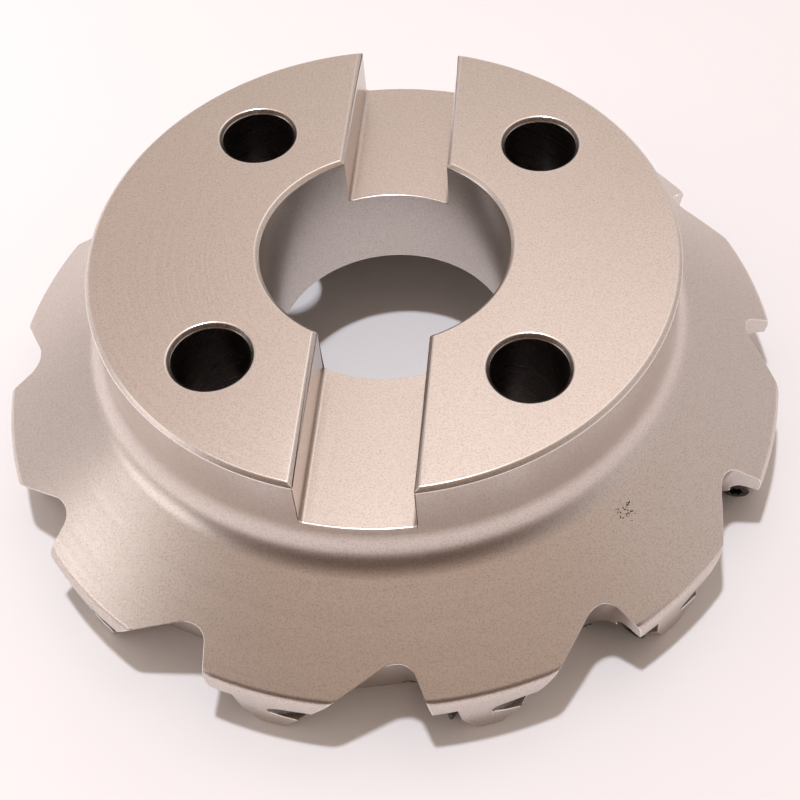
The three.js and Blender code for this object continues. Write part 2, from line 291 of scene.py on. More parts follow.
@dataclass
class TurnedBlank:
    """The body as it leaves the lathe: hub, root fillet, flange cone, rim, bore and recess."""

    height: float = 0.062
    hub_radius: float = 0.071
    hub_wall: float = 0.0165
    hub_step: float = 0.0004
    hub_fillet: float = 0.013
    chamfer: float = 0.001
    rim_radius: float = 0.0996
    rim_taper: float = 0.0016
    rim_taper_top: float = 0.016
    rim_round: float = 0.003
    rim_foot_chamfer: float = 0.0005
    flange_slope: float = 34.0
    bore_radius: float = 0.030
    bore_length: float = 0.038
    recess_radius: float = 0.065
    recess_flare: float = 0.0015
    recess_fillet: float = 0.003
    flats: int = 240
    fillet_steps: int = 16

    @property
    def recess_top(self) -> float:
        """Level of the recess's flat ceiling, where the mounting bolts' heads seat."""
        return self.height - self.bore_length

    def fillet_centre(self) -> Vector:
        """Centre of the fillet between the hub's root and the flange."""
        radius = self.hub_radius - self.hub_step + self.hub_fillet
        return Vector((radius, self.height - self.hub_wall, 0.0))

    def flange_height(self, radius: float) -> float:
        """Height of the flange cone.

        Args:
            radius: distance from the axis.

        Returns:
            The cone's height there.
        """
        slope = math.radians(self.flange_slope)
        centre = self.fillet_centre()
        start = centre - self.hub_fillet * Vector((math.sin(slope), math.cos(slope), 0.0))
        return start.y - (radius - start.x) * math.tan(slope)

    def rim_corner(self) -> list[Vector]:
        """Round between the rim's wall and the flange cone.

        Returns:
            Its points, from the wall to the cone.
        """
        leaning = 90 - self.flange_slope
        setback = self.rim_round * tan(leaning / 2)
        level = self.flange_height(self.rim_radius) - setback
        centre = Vector((self.rim_radius - self.rim_round, level, 0.0))
        return arc(centre, self.rim_round, 0, leaning, self.fillet_steps)

    def profile(self) -> list[Vector]:
        """Section of the blank.

        Returns:
            Its corners as (radius, height) points, from the recess's mouth outward.
        """
        foot_radius = self.rim_radius - self.rim_taper
        mouth = self.recess_radius + self.recess_flare
        corner = Vector((self.recess_radius - self.recess_fillet, self.recess_top - self.recess_fillet, 0))
        wall_foot = self.height - self.hub_wall
        fillet = arc(self.fillet_centre(), self.hub_fillet, 270 - self.flange_slope, 180, self.fillet_steps)
        foot = [
            (mouth, 0),
            (foot_radius - self.rim_foot_chamfer, 0),
            (foot_radius, self.rim_foot_chamfer),
            (self.rim_radius, self.rim_taper_top),
        ]
        top = [
            (self.hub_radius, wall_foot),
            (self.hub_radius, self.height - self.chamfer),
            (self.hub_radius - self.chamfer, self.height),
            (self.bore_radius + self.chamfer, self.height),
            (self.bore_radius, self.height - self.chamfer),
            (self.bore_radius, self.recess_top + self.chamfer),
            (self.bore_radius + self.chamfer, self.recess_top),
        ]
        outline = flat_points(foot) + self.rim_corner() + fillet + flat_points(top)
        return outline + arc(corner, self.recess_fillet, 90, 0, self.fillet_steps // 2)

    def build(self) -> bpy.types.Object:
        """Spin the blank."""
        return make_object("cutter_body_fine", turned(self.profile(), self.flats))


@dataclass
class ArborSeat:
    """What the machine's arbor needs: the drive keyway and the four mounting bolt holes."""

    key_width: float = 0.0257
    key_depth: float = 0.014
    key_corner: float = 0.001
    bolt_count: int = 4
    bolt_circle: float = 0.1016
    first_bolt_angle: float = 45.0
    hole_radius: float = 0.009
    flats: int = 96
    corner_steps: int = 6

    def keyway(self, blank: TurnedBlank) -> bpy.types.Object:
        """Tool that mills the keyway right across the back face, with its edge chamfers.

        Args:
            blank: the turned body.

        Returns:
            The tool solid.
        """
        half, floor = self.key_width / 2, blank.height - self.key_depth
        inner = half - self.key_corner
        lip = blank.height - blank.chamfer
        out = half + blank.chamfer + OVERCUT
        left = Vector((-inner, floor + self.key_corner, 0.0))
        right = Vector((inner, floor + self.key_corner, 0.0))
        outline = arc(left, self.key_corner, 180, 270, self.corner_steps)
        outline += arc(right, self.key_corner, 270, 360, self.corner_steps)
        above = blank.height + OVERCUT
        outline += flat_points([(half, lip), (out, above), (-out, above), (-half, lip)])
        length = 2 * (blank.hub_radius + OVERCUT)
        bm = prism(outline, length)
        stand = Matrix.Translation((0, length / 2, 0)) @ Matrix.Rotation(math.pi / 2, 4, "X")
        bmesh.ops.transform(bm, matrix=stand, verts=bm.verts)
        return make_object("keyway_tool", bm)

    def hole_place(self, index: int) -> Vector:
        """Point on the axis of a bolt hole, at the foot's level."""
        return polar(self.bolt_circle / 2, self.first_bolt_angle + 360 / self.bolt_count * index)

    def hole(self, blank: TurnedBlank, index: int) -> bpy.types.Object:
        """Tool that drills one bolt hole and chamfers both its ends.

        Args:
            blank: the turned body.
            index: which hole, anticlockwise from the +X +Y corner.

        Returns:
            The tool solid.
        """
        flare = self.hole_radius + blank.chamfer + OVERCUT
        profile = [
            (0, blank.recess_top - OVERCUT),
            (flare, blank.recess_top - OVERCUT),
            (self.hole_radius, blank.recess_top + blank.chamfer),
            (self.hole_radius, blank.height - blank.chamfer),
            (flare, blank.height + OVERCUT),
            (0, blank.height + OVERCUT),
        ]
        bm = turned(flat_points(profile), self.flats)
        bmesh.ops.translate(bm, verts=bm.verts, vec=self.hole_place(index))
        return make_object("hole_tool", bm, Surface.DARK)


@dataclass
class Tooth:
    """Cuts that make one tooth, in the tooth's own frame.

    +Y points outward through the tooth's tip and +X the way the cutter turns, so the leading
    face looks along +X and the tooth in front lies at larger X.
    """

    blank: TurnedBlank
    count: int = 12
    first_angle: float = -80.2
    axial_rake: float = 9.0
    radial_rake: float = 14.0
    tip_height: float = 0.0133
    arch: float = 0.004
    top_inset: float = 0.0083
    foot_inset: float = 0.0155
    flat: float = 0.0005
    spread: float = 0.7
    run_out: float = 34.6
    pocket_depth: float = 0.0056
    pocket_run: float = 0.007
    roof_fall: float = 21.0
    insert_incircle: float = 0.0127
    insert_corner: float = 80.0
    insert_corner_pair: float = 240.0
    insert_corner_step: float = 60.0
    insert_clearance: float = 0.00015
    insert_turn: float = -45.0
    screw_inset: float = 0.0067
    screw_height: float = 0.0056
    corner_across: float = 0.0057
    corner_up: float = 0.0018
    corner_foot: float = 0.0011
    corner_depth: float = 0.0025
    nose_radius: float = 0.0012
    relief_radius: float = 0.00285
    relief_inset: float = 0.0042
    relief_height: float = 0.01215
    relief_toe_in: float = 1.4
    relief_drop: float = 3.7
    relief_behind: float = 0.0015
    tapped_radius: float = 0.0028
    tapped_depth: float = 0.0115
    tapped_mouth: float = 0.0037
    arc_steps: int = 12
    flats: int = 40

    @property
    def leading_normal(self) -> Vector:
        """Direction that the leading face and the insert seat look in."""
        return Vector((1, tan(self.radial_rake), -tan(self.axial_rake))).normalized()

    @property
    def gullet_top(self) -> float:
        """Level where the gullet's floor meets the flange."""
        return self.blank.flange_height(self.blank.rim_radius - self.top_inset)

    def leading_x(self, y: float, z: float) -> float:
        """X of the leading face's plane, which holds the tooth's tip, at a radial place and height."""
        fall = tan(self.radial_rake) * (self.blank.rim_radius - y)
        return fall + tan(self.axial_rake) * (z - self.tip_height)

    def seat_centre(self) -> Vector:
        """Where the screw's axis meets the insert seat.

        Returns:
            The point, in the tooth's own frame.
        """
        radial = self.blank.rim_radius - self.screw_inset
        sunk = self.pocket_depth / self.leading_normal.x
        return Vector((self.leading_x(radial, self.screw_height) - sunk, radial, self.screw_height))

    def seat_frame(self) -> Matrix:
        """Frame on the seat: origin on the screw's axis, X across, Y up the seat, Z out of it.

        Returns:
            The matrix from the seat's frame to the tooth's.
        """
        normal = self.leading_normal
        across = Vector((0, 0, 1)).cross(normal).normalized()
        turn = Matrix((across, normal.cross(across), normal)).transposed().to_4x4()
        return Matrix.Translation(self.seat_centre()) @ turn

    def turn(self, index: int) -> Matrix:
        """Turn from the tooth's own frame to its place on the body."""
        angle = self.first_angle - 90 + 360 / self.count * index
        return Matrix.Rotation(math.radians(angle), 4, "Z")

    def gullet_outline(self, z: float) -> list[Vector]:
        """Outline of the gullet: leading face, round, floor, round and run-out.

        Args:
            z: level of the outline.

        Returns:
            Its corners, as many at every level.
        """
        rim = self.blank.rim_radius
        share = z / self.gullet_top
        round_y = rim - (self.foot_inset + (self.top_inset - self.foot_inset) * share) + self.arch
        lean = self.arch / math.cos(math.radians(self.radial_rake))
        near = Vector((self.leading_x(round_y, z) + lean, round_y, 0.0))
        far = near + Vector((self.flat + self.spread * (self.gullet_top - z), 0.0, 0.0))
        far_round = arc(far, self.arch, 270, 270 + self.run_out, self.arc_steps)
        end = far_round[-1]
        outer = rim + 2 * OVERCUT
        outline = [Vector((self.leading_x(outer, z), outer, 0.0))]
        outline += arc(near, self.arch, 180 + self.radial_rake, 270, self.arc_steps)
        outline += far_round
        return outline + [Vector((end.x + (outer - end.y) / tan(self.run_out), outer, 0.0))]

    def insert_point(self, index: int) -> Vector:
        """Corner of the trigon insert on its seat.

        Args:
            index: which corner; the even ones are sharp and the odd ones blunt.

        Returns:
            The corner in the seat's XY plane.
        """
        half = (self.insert_corner if index % 2 == 0 else self.insert_corner_pair - self.insert_corner) / 2
        reach = (self.insert_incircle / 2 + self.insert_clearance) / math.sin(math.radians(half))
        return polar(reach, self.insert_turn + self.insert_corner_step * index)

    def gullet(self) -> bpy.types.Object:
        """Tool that mills the chip gullet."""
        return make_object("gullet_tool", lofted(self.gullet_outline, -OVERCUT, self.gullet_top))

    def pocket(self) -> bpy.types.Object:
        """Tool that mills the insert's pocket: roof, inner walls and seat.

        Returns:
            The tool solid, in the tooth's own frame.
        """
        upper, blunt, inner = (self.insert_point(i) for i in (2, 3, 4))
        foot = -self.screw_height - OVERCUT
        outside = self.insert_incircle
        roof_end = upper.y - tan(self.roof_fall) * (outside - upper.x)
        outline = [Vector((outside, foot, 0)), Vector((outside, roof_end, 0)), upper, blunt, inner]
        outline.append(Vector((inner.x, foot, 0)))
        bm = prism(outline, self.pocket_depth + self.pocket_run)
        bmesh.ops.transform(bm, matrix=self.seat_frame(), verts=bm.verts)
        return make_object("pocket_tool", bm, Surface.DARK)

    def nose_relief(self) -> bpy.types.Object:
        """Tool that drills clearance for the insert's inner corner.

        Returns:
            The tool solid, in the tooth's own frame.
        """
        bm = drill(self.nose_radius, 0.0, self.pocket_depth + self.pocket_run, self.flats)
        place = self.seat_frame() @ Matrix.Translation(self.insert_point(4))
        bmesh.ops.transform(bm, matrix=place, verts=bm.verts)
        return make_object("nose_tool", bm, Surface.DARK)

    def corner_relief(self) -> bpy.types.Object:
        """Tool that takes a wedge off the seat's lower outer corner.

        Returns:
            The tool solid, in the tooth's own frame.
        """
        on_rim = Vector((self.corner_across, self.corner_up, 0.0))
        on_foot = Vector((self.corner_foot, -self.screw_height, 0.0))
        sunk = Vector((self.corner_across, -self.screw_height, -self.corner_depth))
        along = (on_foot - on_rim).normalized()
        normal = along.cross(sunk - on_rim).normalized()
        turn = Matrix((along, normal.cross(along), normal)).transposed().to_4x4()
        size = 2 * self.insert_incircle
        shape = Matrix.Diagonal((size, size, self.pocket_depth, 1.0))
        middle = Matrix.Translation((size / 2 - OVERCUT / 2, 0, self.pocket_depth / 2))
        bm = bmesh.new()
        place = self.seat_frame() @ Matrix.Translation(on_rim) @ turn @ middle @ shape
        bmesh.ops.create_cube(bm, size=1.0, matrix=place)
        return make_object("corner_tool", bm)

    def long_relief(self) -> bpy.types.Object:
        """Tool that bores the round relief, which also slots the rim of the tooth in front.

        Returns:
            The tool solid, in the tooth's own frame.
        """
        behind = self.seat_centre().x - self.relief_behind
        bm = drill(self.relief_radius, behind, self.blank.rim_radius / 2, self.flats)
        lay = Matrix.Rotation(math.pi / 2, 4, "Y")
        fall = Matrix.Rotation(math.radians(self.relief_drop), 4, "Y")
        toe_in = Matrix.Rotation(-math.radians(self.relief_toe_in), 4, "Z")
        place = Matrix.Translation((0, self.blank.rim_radius - self.relief_inset, self.relief_height))
        bmesh.ops.transform(bm, matrix=place @ toe_in @ fall @ lay, verts=bm.verts)
        return make_object("relief_tool", bm, Surface.DARK)

    def tapped_hole(self) -> bpy.types.Object:
        """Tool that drills the insert screw's hole and countersinks its mouth.

        Returns:
            The tool solid, in the tooth's own frame.
        """
        profile = [
            (0, -self.tapped_depth),
            (self.tapped_radius, -self.tapped_depth),
            (self.tapped_radius, self.tapped_radius - self.tapped_mouth),
            (self.tapped_mouth, 0),
            (self.tapped_mouth, OVERCUT),
            (0, OVERCUT),
        ]
        bm = turned(flat_points(profile), self.flats)
        bmesh.ops.transform(bm, matrix=self.seat_frame(), verts=bm.verts)
        return make_object("tapped_tool", bm, Surface.DARK)

    def tool(self) -> bpy.types.Object:
        """All the cuts of one tooth, joined into one tool.

        Returns:
            The tool solid, in the tooth's own frame.
        """
        whole = self.gullet()
        for part in (self.pocket, self.nose_relief, self.corner_relief, self.long_relief, self.tapped_hole):
            combine(whole, part(), Operation.JOIN)
        return whole


@dataclass
class CutterBody:
    """The one-piece cutter body: blank, arbor seat, twelve teeth and softened edges."""

    node: str = "cutter_body"
    ride_on: str = "cutter"
    record_slot: str = "plated_steel"
    edge_break: float = 0.00025
    edge_angle: float = 28.0
    soft_angle: float = 40.0
    weld: float = 0.00003
    sliver: float = 0.00001
    break_steps: int = 2
    break_tries: int = 6
    astray_share: float = 0.75
    tight_reach: float = 0.0012
    blank: TurnedBlank = field(default_factory=TurnedBlank)
    seat: ArborSeat = field(default_factory=ArborSeat)
    tooth: Tooth = field(init=False)
    piece: bpy.types.Object = field(init=False)

    def __post_init__(self) -> None:
        """Lay out the tooth on the blank."""
        self.tooth = Tooth(self.blank)

    def build(self) -> None:
        """Turn, mill and drill the body, and break its sharp edges."""
        self.piece = self.blank.build()
        combine(self.piece, self.seat.keyway(self.blank), Operation.CUT)
        for index in range(self.seat.bolt_count):
            combine(self.piece, self.seat.hole(self.blank, index), Operation.CUT)
        pattern = self.tooth.tool()
        for index in range(self.tooth.count):
            copy = bpy.data.objects.new("tooth_tool", pattern.data.copy())
            copy.data.transform(self.tooth.turn(index))
            bpy.context.scene.collection.objects.link(copy)
            combine(self.piece, copy, Operation.CUT)
        bpy.data.objects.remove(pattern)
        self.break_edges()

    def dress(self, plated: bpy.types.Material, shaded_hollows: bpy.types.Material) -> None:
        """Plate the outside, and paint shade into the pockets, reliefs and holes with a dark colour."""
        fit_out(self.piece, self.node, self.ride_on, self.record_slot, (plated, shaded_hollows))

    def sharp_edges(self, bm: bmesh.types.BMesh, tight: Sequence[Vector]) -> list[bmesh.types.BMEdge]:
        """Edges to break.

        Args:
            bm: the body.
            tight: places where a broken edge would run out of room.

        Returns:
            Its sharp edges, without those that touch a tight place.
        """
        limit = math.radians(self.edge_angle)
        sharp = [e for e in bm.edges if e.is_manifold and e.calc_face_angle() > limit]
        near = {v for e in sharp for v in e.verts if any((v.co - p).length < self.tight_reach for p in tight)}
        return [e for e in sharp if near.isdisjoint(e.verts)]

    def bevelled(self, tight: Sequence[Vector]) -> bmesh.types.BMesh:
        """Body with its sharp edges rounded and the new strips marked for a lighter colour: edge wear with a
        painted highlight.

        Args:
            tight: places to keep away from.

        Returns:
            The softened shape.
        """
        bm = bmesh.new()
        bm.from_mesh(self.piece.data)
        clean(bm, self.weld)
        bmesh.ops.dissolve_degenerate(bm, edges=bm.edges, dist=self.sliver)
        wear_and_highlight = bm.faces.layers.float.new("wear_and_highlight")
        strips = bmesh.ops.bevel(
            bm, geom=self.sharp_edges(bm, tight), offset=self.edge_break, offset_type="OFFSET",
            segments=self.break_steps, profile=0.5, affect="EDGES", clamp_overlap=False, material=-1,
        )["faces"]
        for face in strips:
            if face.is_valid:
                face[wear_and_highlight] = 1.0
        return bm

    def break_edges(self) -> None:
        """Round the sharp edges, wherever that leaves the surface in its place."""
        bm = bmesh.new()
        bm.from_mesh(self.piece.data)
        milled = BVHTree.FromBMesh(bm)
        bm.free()
        limit = self.edge_break * self.astray_share
        tight: list[Vector] = []
        for _ in range(self.break_tries):
            bm = self.bevelled(tight)
            astray = [v.co.copy() for v in bm.verts if milled.find_nearest(v.co)[3] > limit]
            if not astray:
                break
            tight += [milled.find_nearest(p)[0] for p in astray]
            bm.free()
        LOG.info("edges broken, with %d tight places left sharp", len(tight))
        for face in bm.faces:
            face.smooth = True
        bm.to_mesh(self.piece.data)
        bm.free()
        settle_normals(self.piece, self.soft_angle)


# ---- The insert screws ------------------------------------------------------------------------


@dataclass
class InsertScrew:
    """M5 countersunk screw with a six-lobe socket, in the seat's frame: head towards +Z."""

    number: int
    thread_radius: float = 0.0025
    root_radius: float = 0.00209
    pitch: float = 0.0008
    engaged: float = 0.009
    head_radius: float = 0.0034
    head_foot: float = 0.0003
    cone: float = 0.0014
    head_rim: float = 0.0008
    head_round: float = 0.00025
    socket_radius: float = 0.00166
    socket_wave: float = 0.00027
    socket_lobes: int = 6
    socket_depth: float = 0.0016
    record_slot: str = "screw_steel"
    soft_angle: float = 32.0
    flats: int = 48
    rows_per_turn: int = 8
    head_steps: int = 4
    steps_per_lobe: int = 16
    piece: bpy.types.Object = field(init=False)

    @property
    def node(self) -> str:
        """Name of the frame's node that this screw stands for."""
        return f"insert_screw_{self.number:02d}"

    @property
    def ride_on(self) -> str:
        """Name of the body that this screw moves with."""
        return f"screw_{self.number:02d}"

    @property
    def top(self) -> float:
        """Level of the head's flat top."""
        return self.head_foot + self.cone + self.head_rim

    def blank(self) -> bmesh.types.BMesh:
        """Head and shank, with the shank in enough rows to carry the thread.

        Returns:
            A closed shape.
        """
        tip = self.thread_radius - self.head_round
        rows = round(self.engaged / self.pitch * self.rows_per_turn)
        shank_foot = self.head_round - self.engaged
        shank = [
            (self.thread_radius, shank_foot + (self.head_foot - shank_foot) * i / rows)
            for i in range(rows + 1)
        ]
        rim_foot = self.head_foot + self.cone
        corner = Vector((self.head_radius - self.head_round, self.top - self.head_round, 0.0))
        sides = [(0, -self.engaged), (tip, -self.engaged), *shank, (self.head_radius, rim_foot)]
        outline = flat_points(sides) + arc(corner, self.head_round, 0, 90, self.head_steps)
        return turned(outline + flat_points([(0, self.top)]), self.flats)

    def cut_thread(self, bm: bmesh.types.BMesh) -> None:
        """Sink a helical groove into the shank, running out below the head and at the tip.

        Args:
            bm: the blank.
        """
        depth = self.thread_radius - self.root_radius
        for vert in bm.verts:
            radius = math.hypot(vert.co.x, vert.co.y)
            if abs(radius - self.thread_radius) > MERGE or vert.co.z > self.head_foot - MERGE:
                continue
            turn = vert.co.z / self.pitch - math.atan2(vert.co.y, vert.co.x) / math.tau
            groove = abs(2 * (turn % 1.0) - 1)
            fade = min(1.0, (self.head_foot - vert.co.z) / self.pitch)
            scale = (self.thread_radius - depth * groove * fade) / radius
            vert.co.x *= scale
            vert.co.y *= scale

    def driver(self) -> bpy.types.Object:
        """Tool that forms the six-lobe socket.

        Returns:
            The tool solid, in the seat's frame.
        """
        steps = self.steps_per_lobe * self.socket_lobes
        outline = []
        for i in range(steps):
            angle = 360 * i / steps
            wave = self.socket_wave * math.cos(math.radians(self.socket_lobes * angle))
            outline.append(polar(self.socket_radius + wave, angle))
        bm = prism(outline, self.socket_depth + OVERCUT)
        bmesh.ops.translate(bm, verts=bm.verts, vec=(0, 0, self.top - self.socket_depth))
        return make_object("driver_tool", bm)

    def build(self, place: Matrix) -> None:
        """Make the screw and put it in its hole.

        Args:
            place: from the seat's frame to the cutter's.
        """
        bm = self.blank()
        self.cut_thread(bm)
        self.piece = make_object(f"{self.node}_fine", bm)
        combine(self.piece, self.driver(), Operation.CUT)
        bm = bmesh.new()
        bm.from_mesh(self.piece.data)
        clean(bm)
        for face in bm.faces:
            face.smooth = True
        bmesh.ops.transform(bm, matrix=place, verts=bm.verts)
        bm.to_mesh(self.piece.data)
        bm.free()
        settle_normals(self.piece, self.soft_angle)

    def dress(self, oxide: bpy.types.Material) -> None:
        """Blacken the screw all over."""
        fit_out(self.piece, self.node, self.ride_on, self.record_slot, [oxide] * len(Surface))


# ---- Finishes ---------------------------------------------------------------------------------


@dataclass
class Effects:
    """Node groups that more than one finish uses, each built once."""

    bump_height: float = 0.00004
    cloud_scale: float = 38.0
    fleck_window: tuple[float, float] = (0.45, 0.85)
    grain: bpy.types.NodeTree = field(init=False)
    turning: bpy.types.NodeTree = field(init=False)

    def __post_init__(self) -> None:
        """Build the groups."""
        self.grain = self.build_grain()
        self.turning = self.build_turning()

    @staticmethod
    def new_group(name: str, inputs: dict[str, float], outputs: dict[str, str]) -> bpy.types.NodeTree:
        """Make an empty node group with its sockets.

        Args:
            name: the group's name.
            inputs: float inputs and their default values.
            outputs: output names and their socket types.

        Returns:
            The node tree, with an input and an output node in it.
        """
        tree = bpy.data.node_groups.new(name, "ShaderNodeTree")
        for key, value in inputs.items():
            socket = tree.interface.new_socket(key, in_out="INPUT", socket_type="NodeSocketFloat")
            socket.default_value = value
        for key, kind in outputs.items():
            tree.interface.new_socket(key, in_out="OUTPUT", socket_type=kind)
        tree.nodes.new("NodeGroupInput")
        tree.nodes.new("NodeGroupOutput")
        return tree

    def build_grain(self) -> bpy.types.NodeTree:
        """Fine blasted grain: an even speckle that bumps the surface and clouds its colour.

        Returns:
            The group, which puts out the speckle, a slow cloud and the bumped normal.
        """
        tree = self.new_group(
            "blasted_grain", {"Scale": 2500.0, "Strength": 0.1},
            {"Speckle": "NodeSocketFloat", "Cloud": "NodeSocketFloat", "Normal": "NodeSocketVector"},
        )
        nodes, link = tree.nodes, tree.links.new
        given, out = nodes["Group Input"], nodes["Group Output"]
        place = nodes.new("ShaderNodeTexCoord")
        speckle = nodes.new("ShaderNodeTexNoise")
        speckle.inputs["Detail"].default_value = 2.0
        link(place.outputs["Object"], speckle.inputs["Vector"])
        link(given.outputs["Scale"], speckle.inputs["Scale"])
        cloud = nodes.new("ShaderNodeTexNoise")
        cloud.inputs["Scale"].default_value = self.cloud_scale
        cloud.inputs["Detail"].default_value = 4.0
        link(place.outputs["Object"], cloud.inputs["Vector"])
        bump = nodes.new("ShaderNodeBump")
        bump.inputs["Distance"].default_value = self.bump_height
        link(given.outputs["Strength"], bump.inputs["Strength"])
        link(speckle.outputs["Fac"], bump.inputs["Height"])
        flecks = nodes.new("ShaderNodeMapRange")
        flecks.inputs["From Min"].default_value, flecks.inputs["From Max"].default_value = self.fleck_window
        link(speckle.outputs["Fac"], flecks.inputs["Value"])
        link(flecks.outputs["Result"], out.inputs["Speckle"])
        link(cloud.outputs["Fac"], out.inputs["Cloud"])
        link(bump.outputs["Normal"], out.inputs["Normal"])
        return tree

    def build_turning(self) -> bpy.types.NodeTree:
        """Tool marks of turning: fine rings about the Z axis, closer or wider by the scale.

        Returns:
            The group, which puts out the rings' strength.
        """
        tree = self.new_group("turning_marks", {"Scale": 1500.0}, {"Rings": "NodeSocketFloat"})
        nodes, link = tree.nodes, tree.links.new
        given, out = nodes["Group Input"], nodes["Group Output"]
        place = nodes.new("ShaderNodeTexCoord")
        flat = nodes.new("ShaderNodeVectorMath")
        flat.operation = "MULTIPLY"
        flat.inputs[1].default_value = (1.0, 1.0, 0.0)
        link(place.outputs["Object"], flat.inputs[0])
        radius = nodes.new("ShaderNodeVectorMath")
        radius.operation = "LENGTH"
        link(flat.outputs["Vector"], radius.inputs[0])
        split = nodes.new("ShaderNodeSeparateXYZ")
        link(place.outputs["Object"], split.inputs["Vector"])
        along = nodes.new("ShaderNodeMath")
        link(radius.outputs["Value"], along.inputs[0])
        link(split.outputs["Z"], along.inputs[1])
        rings = nodes.new("ShaderNodeTexNoise")
        rings.noise_dimensions = "1D"
        rings.inputs["Detail"].default_value = 3.0
        link(given.outputs["Scale"], rings.inputs["Scale"])
        link(along.outputs["Value"], rings.inputs["W"])
        link(rings.outputs["Fac"], out.inputs["Rings"])
        return tree


@dataclass(frozen=True)
class MetalFinish:
    """A metal surface: its colours, how rough it is, and how strong its marks are."""

    name: str
    base: tuple[float, float, float]
    cloudy: tuple[float, float, float]
    # Colour of the broken edges: edge wear with a painted highlight.
    edge_wear_and_highlight: tuple[float, float, float]
    fleck: tuple[float, float, float]
    roughness: float
    worn_roughness: float
    grain_scale: float
    grain_strength: float
    ring_scale: float
    ring_share: float
    ring_window: tuple[float, float] = (0.3, 0.7)
    speck_share: float = 0.0
    speck_centre: tuple[float, float, float] = (0.0, 0.0, 0.0)
    speck_reach: float = 0.004
    speck_scale: float = 1900.0
    speck_window: tuple[float, float] = (0.80, 0.84)
    speck_colour: tuple[float, float, float] = (0.03, 0.025, 0.02)

    def build(self, effects: Effects) -> bpy.types.Material:
        """Make the material.

        Args:
            effects: the shared node groups.

        Returns:
            The material.
        """
        material = bpy.data.materials.new(self.name)
        material.use_nodes = True
        tree = material.node_tree
        nodes, link = tree.nodes, tree.links.new
        shader = nodes["Principled BSDF"]
        shader.inputs["Metallic"].default_value = 1.0
        grain = nodes.new("ShaderNodeGroup")
        grain.node_tree = effects.grain
        grain.inputs["Scale"].default_value = self.grain_scale
        grain.inputs["Strength"].default_value = self.grain_strength
        rings = nodes.new("ShaderNodeGroup")
        rings.node_tree = effects.turning
        rings.inputs["Scale"].default_value = self.ring_scale
        wear_and_highlight = nodes.new("ShaderNodeAttribute")
        wear_and_highlight.attribute_name = "wear_and_highlight"
        colour = self.blend(tree, grain.outputs["Cloud"], (*self.base, 1), (*self.cloudy, 1))
        colour = self.blend(tree, grain.outputs["Speckle"], colour, (*self.fleck, 1))
        # Lighter broken edges: edge wear with a painted highlight.
        colour = self.blend(tree, wear_and_highlight.outputs["Fac"], colour, (*self.edge_wear_and_highlight, 1))
        if self.speck_share > 0:
            colour = self.blend(tree, self.specks(tree), colour, (*self.speck_colour, 1))
        link(colour, shader.inputs["Base Color"])
        marks = nodes.new("ShaderNodeMapRange")
        marks.inputs["From Min"].default_value, marks.inputs["From Max"].default_value = self.ring_window
        marks.inputs["To Min"].default_value = self.roughness - self.ring_share
        marks.inputs["To Max"].default_value = self.roughness + self.ring_share
        link(rings.outputs["Rings"], marks.inputs["Value"])
        rough = nodes.new("ShaderNodeMix")
        rough.inputs["B"].default_value = self.worn_roughness
        link(wear_and_highlight.outputs["Fac"], rough.inputs["Factor"])
        link(marks.outputs["Result"], rough.inputs["A"])
        link(rough.outputs["Result"], shader.inputs["Roughness"])
        link(grain.outputs["Normal"], shader.inputs["Normal"])
        return material

    @staticmethod
    def blend(
        tree: bpy.types.NodeTree, share: bpy.types.NodeSocket,
        first: bpy.types.NodeSocket | tuple, second: bpy.types.NodeSocket | tuple,
    ) -> bpy.types.NodeSocket:
        """Mix two colours, each a socket or a plain colour.

        Args:
            tree: the material's nodes.
            share: how much of the second colour shows.
            first: the first colour.
            second: the second colour.

        Returns:
            The socket that gives the mixed colour.
        """
        mix = tree.nodes.new("ShaderNodeMix")
        mix.data_type = "RGBA"
        tree.links.new(share, mix.inputs["Factor"])
        for key, value in (("A", first), ("B", second)):
            socket = next(s for s in mix.inputs if s.name == key and s.type == "RGBA")
            if isinstance(value, tuple):
                socket.default_value = value
            else:
                tree.links.new(value, socket)
        return next(s for s in mix.outputs if s.type == "RGBA")

    def specks(self, tree: bpy.types.NodeTree) -> bpy.types.NodeSocket:
        """Mask of small dark pits, thick round one place and rare elsewhere.

        Args:
            tree: the material's nodes.

        Returns:
            The socket that gives the mask.
        """
        nodes, link = tree.nodes, tree.links.new
        place = nodes.new("ShaderNodeTexCoord")
        pits = nodes.new("ShaderNodeTexNoise")
        pits.inputs["Scale"].default_value = self.speck_scale
        pits.inputs["Detail"].default_value = 1.0
        link(place.outputs["Object"], pits.inputs["Vector"])
        away = nodes.new("ShaderNodeVectorMath")
        away.operation = "DISTANCE"
        away.inputs[1].default_value = self.speck_centre
        link(place.outputs["Object"], away.inputs[0])
        near = nodes.new("ShaderNodeMapRange")
        near.inputs["From Min"].default_value = self.speck_reach * 0.4
        near.inputs["From Max"].default_value = self.speck_reach
        near.inputs["To Min"].default_value = self.speck_share
        near.inputs["To Max"].default_value = 0.0
        link(away.outputs["Value"], near.inputs["Value"])
        total = nodes.new("ShaderNodeMath")
        link(pits.outputs["Fac"], total.inputs[0])
        link(near.outputs["Result"], total.inputs[1])
        cut = nodes.new("ShaderNodeMapRange")
        cut.inputs["From Min"].default_value, cut.inputs["From Max"].default_value = self.speck_window
        link(total.outputs["Value"], cut.inputs["Value"])
        return cut.outputs["Result"]


